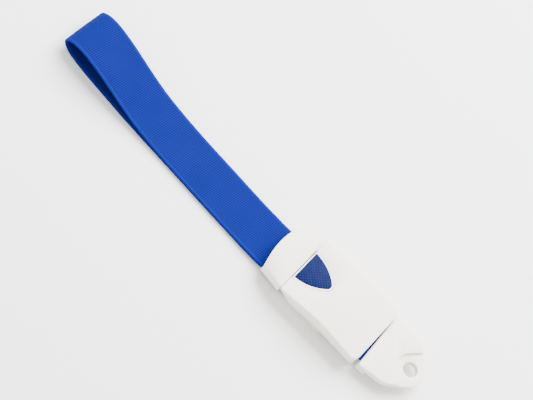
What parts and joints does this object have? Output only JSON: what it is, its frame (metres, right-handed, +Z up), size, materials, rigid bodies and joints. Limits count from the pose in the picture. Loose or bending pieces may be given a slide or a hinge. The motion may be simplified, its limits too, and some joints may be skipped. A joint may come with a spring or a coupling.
{
  "type": "quick-release strap tourniquet",
  "caption": "Loop of elastic webbing with a plug-in moulded clasp, a shield-shaped release button and a pull tab with a hole.",
  "frame": {"origin": "middle of the clasp housing's length, on the flat foot that it rests on", "axes": "+X from the strap loop along the clasp to the pull tab, +Y across the strap, +Z up from the foot to the button"},
  "size_m": [0.2399, 0.0388, 0.0144],
  "materials": {
    "white_abs": "warm white moulded plastic with a fine satin grain",
    "blue_grip": "navy blue plastic with small raised grip dots",
    "webbing": "royal blue elastic webbing with fine cross ribs and plain selvedges",
    "thread": "dark blue sewing thread",
    "steel": "bright spring steel"
  },
  "bodies": {
    "housing": {"housing_cover": "white_abs", "housing_base": "white_abs", "rocker_pin": "steel", "latch_spring": "steel", "jaw_spring": "steel", "strap_ramp": "webbing"},
    "button": {"button_frame": "white_abs", "button_inlay": "blue_grip"},
    "jaw": {"clamp_jaw": "white_abs"},
    "plug": {"collar_hood": "white_abs", "plug_body": "white_abs", "anchor_bar": "steel", "strap_loop": "webbing", "strap_stitching": "thread"},
    "tab": {"tab_cover": "white_abs", "tab_base": "white_abs", "strap_tail": "webbing"}
  },
  "joints": [
    {"name": "plug_release", "type": "slide", "parent": "housing", "child": "plug", "axis": [-1, 0, 0], "range_m": [0, 0.017], "deforming": ["latch_spring"]},
    {"name": "button_press", "type": "hinge", "parent": "housing", "child": "button", "pos_m": [-0.001, 0, 0.01], "axis": [0, -1, 0], "range_deg": [0, 2.8], "stiffness_Nm_per_rad": 0.2, "springref_deg": -2.86},
    {"name": "jaw_lift", "type": "hinge", "parent": "housing", "child": "jaw", "pos_m": [-0.001, 0, 0.01], "axis": [0, -1, 0], "range_deg": [0, 2.8], "deforming": ["jaw_spring"]},
    {"name": "tab_pull", "type": "slide", "parent": "housing", "child": "tab", "axis": [1, 0, 0], "range_m": [0, 0.08], "deforming": ["strap_tail"]}
  ],
  "couplings": [
    {"joint": "jaw_lift", "follows": "button_press", "ratio": 1}
  ]
}
